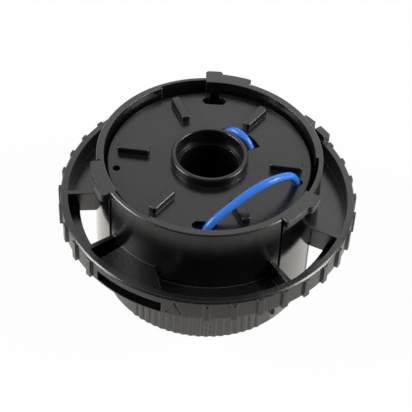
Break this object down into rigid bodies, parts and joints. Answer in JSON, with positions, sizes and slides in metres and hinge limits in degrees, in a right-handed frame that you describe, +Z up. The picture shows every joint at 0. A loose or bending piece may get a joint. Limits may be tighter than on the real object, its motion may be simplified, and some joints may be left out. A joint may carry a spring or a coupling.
{
  "type": "trimmer line spool",
  "caption": "Line spool for a grass trimmer, sprung and free to turn in a twist-on cover with bayonet lugs, a ribbed grip ring and a knurled lower cup.",
  "frame": {"origin": "on the spin axis, at the underside of the cover, which is the face it stands on", "axes": "+Z up along the spin axis, towards the machine; -Y towards the viewer of the picture, +X to the viewer's right"},
  "size_m": [0.0906, 0.0906, 0.0537],
  "materials": {
    "cover_plastic": "satin moulded black",
    "spool_plastic": "semi-gloss moulded black",
    "line_nylon": "smooth blue nylon",
    "spring_steel": "drawn wire"
  },
  "bodies": {
    "cover": {"cover": "cover_plastic"},
    "carrier": {"spring": "spring_steel"},
    "spool": {"spool": "spool_plastic", "line_winding": "line_nylon", "line_anchor": "line_nylon", "line_tail": "line_nylon"}
  },
  "joints": [
    {"name": "spool_press", "type": "slide", "parent": "cover", "child": "carrier", "axis": [0, 0, 1], "range_m": [-0.004, 0], "stiffness_N_per_m": 900, "springref_m": 0.001, "deforming": ["spring"]},
    {"name": "spool_spin", "type": "hinge", "parent": "carrier", "child": "spool", "pos_m": [0, 0, 0.022], "axis": [0, 0, 1], "continuous": true}
  ]
}
